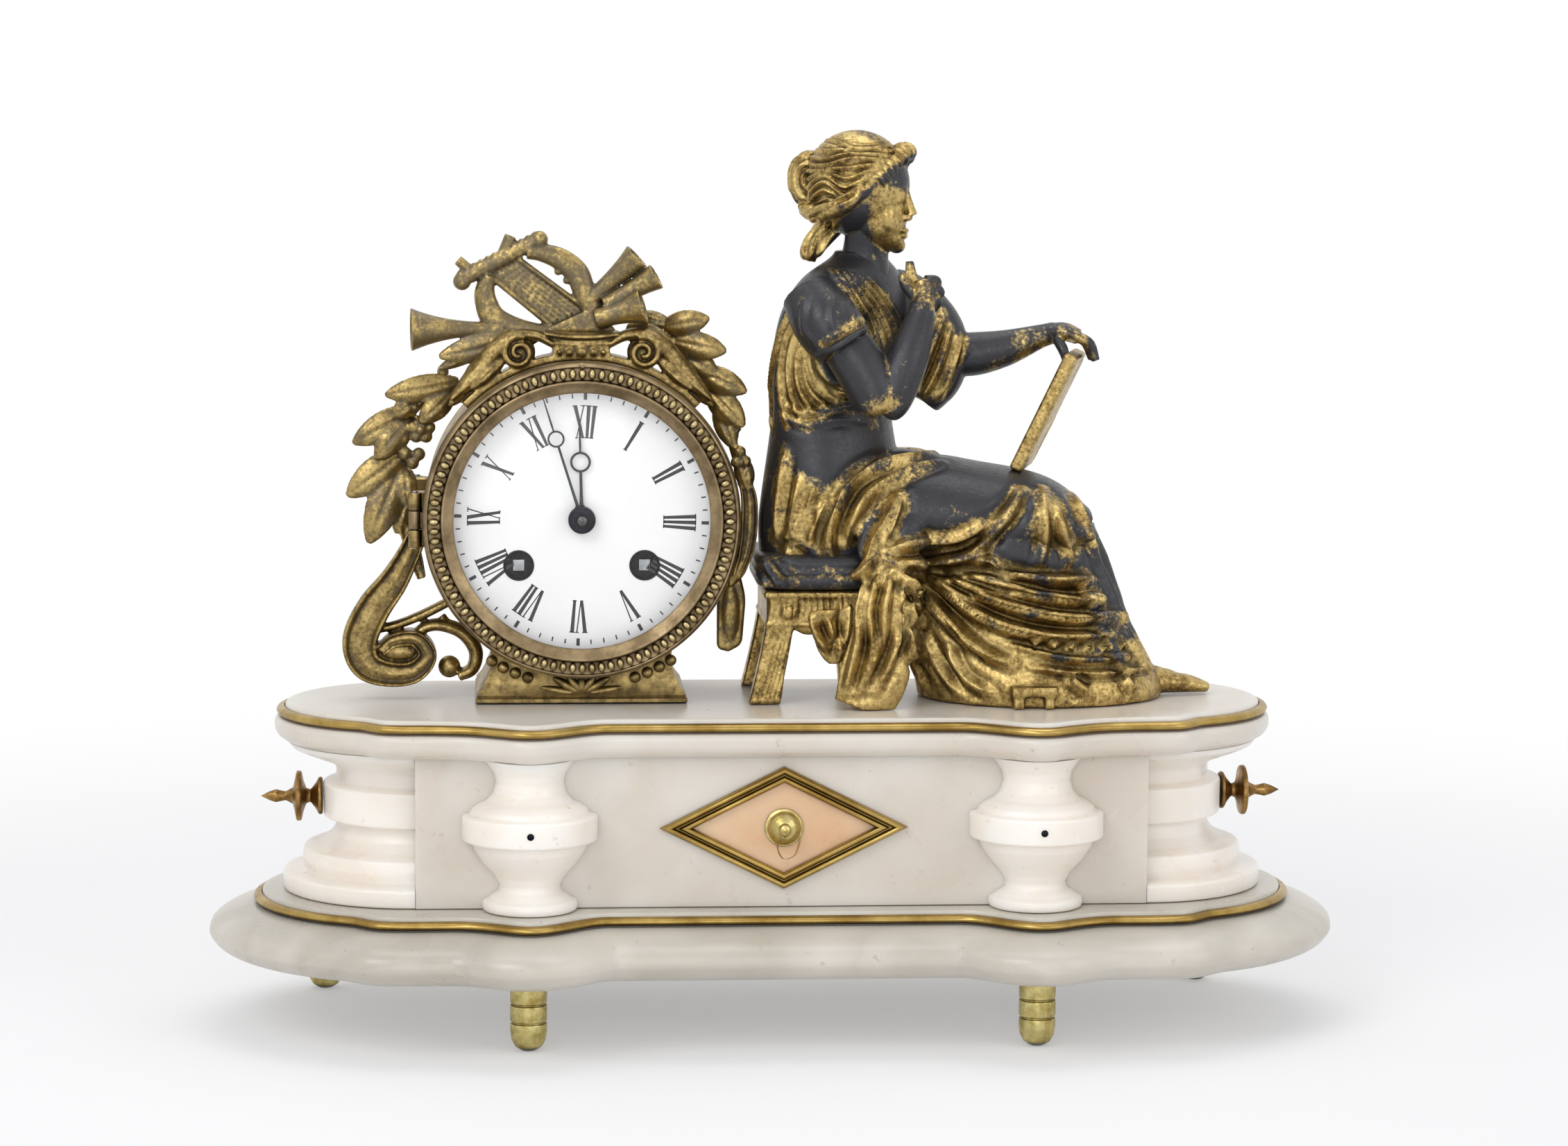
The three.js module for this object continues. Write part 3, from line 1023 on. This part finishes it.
piece(clock, 'minute_wheel', minuteWheel(), BRASS);
piece(clock, 'hour_wheel', hourWheel(), BRASS);
piece(clock, 'count_wheel', countWheel(), BRASS);
piece(clock, 'hammer', hammer(), STEEL);
piece(clock, 'bell', bell(), STEEL);
piece(clock, 'bell_stand', bellStand(), STEEL);

// Ornaments on the drum: flat-backed castings in one upright layer, cut to seat on the drum and on each other

const ORNAMENT_Y = 14; // middle of the layer, behind the drum's front face
const BRACKET_HALF = 7; // half width of the scroll bracket, along Y
const CREST_RISE = 5.3; // height of the crest's band over the drum
const CREST_FRONT = 3;
const CREST_BACK = 18;
const LEAF_HALF = 3.6; // half width of a laurel leaf
const LEAF_THICKNESS = 1.2;
const BERRY = 2.5;
const TUBE = 2.1; // radius of the lyre's arms

const drumSeat = rodY(0, 0, -1, DRUM_DEPTH + 1, DRUM_RADIUS + SEAT_GAP, 22);

// A point of the layer at an angle round the drum and a height over its wall.
const rim = (degrees, out) =>
  [(DRUM_RADIUS + out) * Math.cos(radians(degrees)), (DRUM_RADIUS + out) * Math.sin(radians(degrees))];
// A point beside the drum: out from its left side, and up from the slab.
const beside = (out, up) => [-DRUM_RADIUS - out, PEDESTAL_BASE + up];

// A bar in the layer through points [x, z, half thickness].
const bar = (points, half, steps, sides = 6) =>
  bent(points.map(([x, z, thick]) => [x, ORNAMENT_Y, z, half ?? thick, thick]), steps, { sides });

// A pointed leaf with a raised rib, from its base to its tip.
function leaf([x0, z0], [x1, z1], lean = 0) {
  const at = (share) => [x0 + (x1 - x0) * share, ORNAMENT_Y - lean * share, z0 + (z1 - z0) * share];
  return limb([[...at(0), LEAF_THICKNESS, LEAF_HALF * 0.3],
    [...at(0.5), LEAF_THICKNESS * 1.4, LEAF_HALF],
    [...at(1), LEAF_THICKNESS / 4, LEAF_THICKNESS / 4]], { sides: 4 });
}

const berry = ([x, z]) => new THREE.OctahedronGeometry(BERRY).translate(x, ORNAMENT_Y - 1, z);

// A scroll that falls from the drum's side, rolls in to its eye, and holds a small C under the drum.
function scrollBracket() {
  const fall = [[...beside(-3.5, 52.3), 3], [...beside(4.5, 41.7), 3.5], [...beside(19.5, 29.3), 4.4],
    [...beside(24, 17.3), 3.8], [...beside(15.5, 6.1), 3],
    [...beside(2, 8.8), 2.4], [...beside(1, 17.3), 2.2], [...beside(8.5, 18.3), 3]];
  const curl = [[...beside(8.5, 20.3), 2.2], [...beside(-4.5, 23.7), 2.2],
    [...beside(-13, 19.3), 2.2], [...beside(-14, 10.3), 2.2], [...beside(-10, 8.3), 2.6]];
  const [eyeX, eyeZ] = beside(9.5, 16.3);
  const eye = ball(eyeX, ORNAMENT_Y, eyeZ, 5, BRACKET_HALF, 4, 6);
  return cut(join(bar(fall, BRACKET_HALF, 12, 4), bar(curl, BRACKET_HALF * 0.6, 5, 4), eye), drumSeat);
}

// A band over the drum's top with a shield and two volutes, moved out by grow as a cutter.
function crest(grow) {
  const inner = DRUM_RADIUS + SEAT_GAP;
  const outer = inner + CREST_RISE + grow;
  const ends = [radians(42 - grow), radians(138 + grow)];
  const band = new THREE.Shape().absarc(0, 0, outer, ...ends);
  band.absarc(0, 0, inner, ends[1], ends[0], true);
  const top = outer + CREST_RISE * 0.75;
  const shield = polygon([[-13 - grow, inner + 2], [13 + grow, inner + 2], [11 + grow, top - 2],
    [0, top],
    [-11 - grow, top - 2]]);
  const front = CREST_FRONT - grow;
  const back = CREST_BACK + grow;
  const volutes = [-21, 21].map((x) => rodY(x, inner + 1, front - 1, back - 4, CREST_RISE + grow, 8));
  return cut(join(plate(band, front, back, 6), plate(shield, front - 1, back), ...volutes), drumSeat);
}

const crestSeat = crest(SEAT_GAP);

// A lyre lying across the crest, with horns on both sides, as one casting.
function trophy() {
  const leftArm = bar([[...rim(113.2, 32.3), TUBE], [...rim(116.2, 26.5), TUBE],
    [...rim(114.4, 18.8), TUBE], [...rim(98.5, 9.2), TUBE]], TUBE, 5, 5);
  const rightArm = bar([[...rim(101.4, 34.2), TUBE], [...rim(95.4, 34.3), TUBE],
    [...rim(89.3, 27.5), TUBE], [...rim(86.6, 16.6), TUBE], [...rim(88, 6.5), TUBE]], TUBE, 6, 5);
  const yoke = bar([[...rim(118, 35.7), TUBE * 1.2], [...rim(98.1, 40.9), TUBE * 1.2]], TUBE * 1.2, 1);
  const strings = plate(polygon([rim(112.7, 34.1), rim(103.1, 36.8), rim(88.2, 12.5),
    rim(98.7, 8.2)]), ORNAMENT_Y - 0.8, ORNAMENT_Y + 0.8);
  const leftHorn = bar([[...rim(133.3, 33), 7], [...rim(131.3, 30.3), 4.6], [...rim(124.3, 23), 3],
    [...rim(111.3, 14.5), 2]], null, 3, 7);
  const [fruitX, fruitZ] = rim(126.5, 17.5);
  const fruit = new THREE.IcosahedronGeometry(6.5).translate(fruitX, ORNAMENT_Y, fruitZ);
  const horns = [[rim(88.1, 9.5), rim(76.8, 35.8), 5], [rim(87.1, 8.6), rim(73.1, 31.1), 4],
    [rim(86.1, 7.6), rim(72.3, 20.9), 7]].map(([from, to, mouth]) =>
    bar([[...from, 1.8], [(from[0] + to[0]) / 2, (from[1] + to[1]) / 2, 2.4], [...to, mouth]], null,
      2, 6));
  return cut(join(leftArm, rightArm, yoke, strings, leftHorn, fruit, ...horns), crestSeat);
}

function leftLaurel() {
  const stem = bar([[...rim(135.8, -1.3), 1.6], [...rim(140.3, 9.6), 1.6], [...rim(150.7, 13.9), 1.6],
    [...rim(163.8, 13.1), 1.6], [...rim(171.6, 10.2), 1.4]], null, 4, 4);
  const leaves = [leaf(rim(137.8, 6.6), rim(148, 24), 5), leaf(rim(138.4, 7.3), rim(152.6, 7.1), 4),
    leaf(rim(149.5, 13.5), rim(163, 26.9), 5),
    leaf(rim(151.9, 14.3), rim(166, 18.6), 2), leaf(rim(163, 13.3), rim(175.5, 25.7), 5),
    leaf(rim(167.3, 12.1), rim(-171.8, 18.2), 2)];
  const berries = [berry(rim(151.8, 13.2)), berry(rim(148.8, 13.3)), berry(rim(159.1, 12.9)),
    berry(rim(167.6, 11.6))];
  return cut(join(stem, ...leaves, ...berries), crestSeat, drumSeat);
}

function rightLaurel() {
  const stem = bar([[...rim(65.4, 13.4), 1.6], [...rim(54.2, 10.1), 1.6], [...rim(37.3, 6.3), 1.6],
    [...rim(16.8, 3.9), 1.8], [...rim(0, 2.5), 2], [...rim(-20.8, 2), 1.6]], null, 6, 4);
  const leaves = [leaf(rim(64.2, 12.9), rim(58.5, 25.2), 5),
    leaf(rim(62.2, 12.9), rim(48.4, 19.3), 5), leaf(rim(50.3, 9.6), rim(35.8, 15.1), 4),
    leaf(rim(41.6, 7.3), rim(27, 8), 3), leaf(rim(13.8, 3.1), rim(-10.3, 4.4), 4),
    leaf(rim(-8.7, 1.1), rim(-26.6, 4.4), 2)];
  const plaque = plate(polygon([rim(-27.6, 0.4), rim(-15.1, 2.4), rim(-24.5, 11.1), rim(-36.4, 19.3),
    rim(-42.7, 17.9), rim(-43, 10.1)]), ORNAMENT_Y, ORNAMENT_Y + 5);
  const berries = [berry(rim(32, 5.1)), berry(rim(19.4, 5.7))];
  return cut(join(stem, plaque, ...leaves, ...berries), crestSeat, drumSeat);
}

piece(clock, 'scroll_bracket', scrollBracket(), GILT);
piece(clock, 'crest', crest(0), GILT);
piece(clock, 'trophy', trophy(), SPELTER);
piece(clock, 'left_laurel', leftLaurel(), SPELTER);
piece(clock, 'right_laurel', rightLaurel(), SPELTER);
clockPart.add(clock);

// Figure: heights above the upper slab, Y from the figure's middle plane

const CHEST_WAY = vec(0.64, 0.77, 0); // from the near shoulder to the far one
const CUSHION_HEIGHT = 12;
const RAIL_HEIGHT = 13;
const LEG_RADIUS = 4.6;
const STOOL_LEFT = -8;
const STOOL_RIGHT = 33;
const STOOL_FRONT = -29;
const STOOL_BACK = 26;

// Trunk, lap and skirt, each moved out by grow when it serves as a cutter.
function trunk(grow) {
  return limb([[20, 1, 42, 28, 22], [20, 1, 60, 29, 23], [19, 0, 92, 25, 17.5], [19, 0, 107, 26, 17],
    [21, 0, 122, 27.5, 16.5], [23.5, 0, 132, 28, 15], [25.5, 0, 140.5, 22, 12.5],
      [27.5, 0, 146.5, 11, 9],
    [28, 0, 149, 8.5, 8]], { across: CHEST_WAY, sides: 12, level: true, grow, folds: 6,
      ripple: FOLD_DEPTH / 3 });
}

function lap(grow) {
  return bent([[12, 1, 62, 27, 21], [40, 1, 63, 28, 20], [65, 1, 61.5, 29, 17.5],
    [88, 1, 59.5, 28, 14.5],
    [104, 1, 55, 22, 8]], 5, { sides: 12, grow, folds: 6, ripple: FOLD_DEPTH / 2 });
}

// Hanging cloth with its main folds.
function skirt(grow) {
  return limb([[74, 1, 58, 34, 27], [75, 0, 45, 37, 28], [79.5, -2, 31, 37.5, 30],
    [84, -3, 17, 39, 31.5],
    [89, -4, 5, 41.5, 33], [89.5, -4, SEAT_GAP, 41, 33]],
  { across: vec(1, 0, 0), sides: 24, level: true, grow, folds: 8, ripple: FOLD_DEPTH });
}

// The end of the mantle, which falls in front of the stool.
function mantle(grow) {
  return bent([[36, -18, 68, 14, 7], [33, -31, 53, 13.5, 3.6], [31.5, -35, 34, 13, 3.4],
    [32, -35, 14, 13.5, 3.4],
    [32.5, -35, SEAT_GAP, 14, 3]], 5, { across: vec(1, 0, 0), sides: 8, grow, folds: 4,
      ripple: FOLD_DEPTH / 2 });
}

function toes() {
  return limb([[112, -6, 7.5, 7, 6.5], [128, -5, 5, 6, 4.4], [140, -4, 3.6, 5, 3],
    [147, -4, 2.2, 3, 1.6]], { sides: 8 });
}

function cushion(grow) {
  const middle = [(STOOL_LEFT + STOOL_RIGHT) / 2, (STOOL_FRONT + STOOL_BACK) / 2];
  const wide = (STOOL_RIGHT - STOOL_LEFT) / 2 + grow;
  const deep = (STOOL_BACK - STOOL_FRONT) / 2 + grow;
  const low = STOOL_SEAT - CUSHION_HEIGHT - grow;
  const high = STOOL_SEAT + grow;
  const round = CUSHION_HEIGHT * 0.28;
  const corner = new THREE.Shape().absellipse(0, 0, 1, 1, 0, 2 * Math.PI).getPoints(3).slice(0, 12);
  const squared = (share) => Math.sign(share) * Math.sqrt(Math.abs(share));
  const ring = ([inset, z]) => corner.map(({ x, y }) =>
    vec(middle[0] + squared(x) * (wide - inset), middle[1] + squared(y) * (deep - inset), z));
  return skin([[round, low], [0, low + round], [0, high - round], [round, high]].map(ring));
}

function stool() {
  const railTop = STOOL_SEAT - CUSHION_HEIGHT - SEAT_GAP;
  const inset = 4;
  const rails = block(STOOL_LEFT + inset, STOOL_RIGHT - inset, STOOL_FRONT + inset, STOOL_BACK - inset,
    railTop - RAIL_HEIGHT, railTop + 1);
  const legs = [STOOL_FRONT + inset + 2, STOOL_BACK - inset - 2].flatMap((y) => [
    bent([[STOOL_LEFT + 10, y, railTop - 2, LEG_RADIUS, 5.5],
      [STOOL_LEFT + 6, y, railTop / 2, LEG_RADIUS * 0.8, 4.6],
      [STOOL_LEFT + 2, y, SEAT_GAP, LEG_RADIUS, 4.6]], 2, { sides: 5 }),
    bent([[STOOL_RIGHT - 9, y, railTop - 2, LEG_RADIUS, 5],
      [STOOL_RIGHT - 7, y, railTop / 2, LEG_RADIUS * 0.8, 4],
      [STOOL_RIGHT - 5, y, SEAT_GAP, LEG_RADIUS, 4.4]], 2, { sides: 5 }),
  ]);
  const floor = block(-END_X, END_X, -END_X, END_X, -END_X, SEAT_GAP);
  const boss = ball(STOOL_LEFT + 12, STOOL_FRONT + inset, railTop - RAIL_HEIGHT / 2, 4, 2, 4, 6);
  return cut(join(cushion(0), rails, boss, ...legs), floor);
}

// The tablet leans from the lap to the far hand.
const TABLET_LEAN = 25.5;
function tablet(grow) {
  const length = TABLET_LENGTH + 2 * grow;
  const slate = new THREE.BoxGeometry(TABLET_THICKNESS + 2 * grow, TABLET_WIDTH + 2 * grow, length);
  return slate.rotateY(radians(TABLET_LEAN)).translate(92.5, 5, 95.5);
}

function drapedBody(grow) {
  return join(trunk(grow), lap(grow), skirt(grow), mantle(grow));
}

function figureBody() {
  const bolt = rodZ(FIGURE_BOLT.x, FIGURE_BOLT.y - FIGURE_Y, -1, BOLT_REACH + RUN_GAP,
    BOLT_RADIUS + RUN_GAP, 8);
  const floor = block(-END_X, 2 * END_X, -END_X, END_X, -END_X, SEAT_GAP);
  const under = block(-END_X, STOOL_RIGHT + 1, STOOL_FRONT - SEAT_GAP, END_X, -END_X,
    STOOL_SEAT - CUSHION_HEIGHT);
  return cut(join(drapedBody(0), toes()), floor, bolt, under, cushion(SEAT_GAP), tablet(SEAT_GAP));
}

// Arms: a sleeve over the upper arm, then forearm and hand.
function nearArm(seat) {
  const upper = limb([[9, -19, 134, 10, 10], [15, -24, 126, 11, 11], [25, -28, 116, 10, 9.5],
    [37, -31, 101, 7.6, 7.6],
    [39, -31, 98, 5, 5]], { sides: 8 });
  const fore = limb([[37.5, -31, 98, 5, 5], [40, -30.5, 102, 7.2, 7.2], [46, -29, 117, 6.6, 6.6],
    [49, -24, 130, 4.4, 4.4],
    [48.5, -21, 137, 5, 3.4], [46.5, -20, 146, 1.6, 1.5]], { sides: 8 });
  return cut(join(upper, fore), seat);
}

function farArm(seat) {
  const sleeve = limb([[38, 19, 134, 11, 10], [48, 18, 129, 12, 11], [60, 14, 114, 13, 10.5],
    [62, 13, 112, 11, 9]],
    { sides: 10 });
  const fore = limb([[54, 15, 114, 6, 6], [70, 12, 114, 7, 6.6], [82, 10, 117, 5.6, 5.2],
    [92, 8, 120.5, 4.2, 3.6],
    [100, 6, 120, 6, 3.4], [108, 5, 113, 4, 2]], { sides: 8 });
  return cut(join(sleeve, fore), seat, tablet(SEAT_GAP));
}

// A plain head: neck, face, hair drawn back to a bun, a knot over the brow and a curl at the nape.
function head(seat) {
  const neck = limb([[28.5, -1, 146, 8, 8], [31, -2, 160, 7.5, 7.5]], { sides: 8, level: true });
  const hair = ball(26.5, -2, 172, 18, 15.5, 18.4, 10);
  const face = ball(35, -2, 162.5, 10.5, 10.5, 13.5, 8);
  const nose = limb([[44.5, -2, 168, 1.4, 1], [47, -2, 162, 2, 1.6], [44, -2, 159.5, 1.6, 1]],
    { sides: 6 });
  const bun = ball(9.5, -1, 172, 6, 7, 10, 8);
  const knot = ball(42.5, -2, 181, 4, 6, 4.2, 6);
  const curl = limb([[14, 0, 162, 5, 5], [15, 0, 152, 4.4, 4.4], [17, 0, 145, 3, 3]], { sides: 6 });
  return cut(join(neck, hair, face, nose, bun, knot, curl), seat);
}

const figure = new THREE.Group();
figure.position.set(0, FIGURE_Y, SLAB_TOP);
const seat = drapedBody(SEAT_GAP);
const headSolid = head(seat);
piece(figure, 'stool', stool(), GILT);
piece(figure, 'figure_body', figureBody(), SPELTER);
piece(figure, 'figure_head', headSolid, SPELTER);
piece(figure, 'near_arm', nearArm(seat), SPELTER);
piece(figure, 'far_arm', farArm(seat), SPELTER);
piece(figure, 'tablet', tablet(0), SPELTER);
clockPart.add(figure);

export default clockPart;
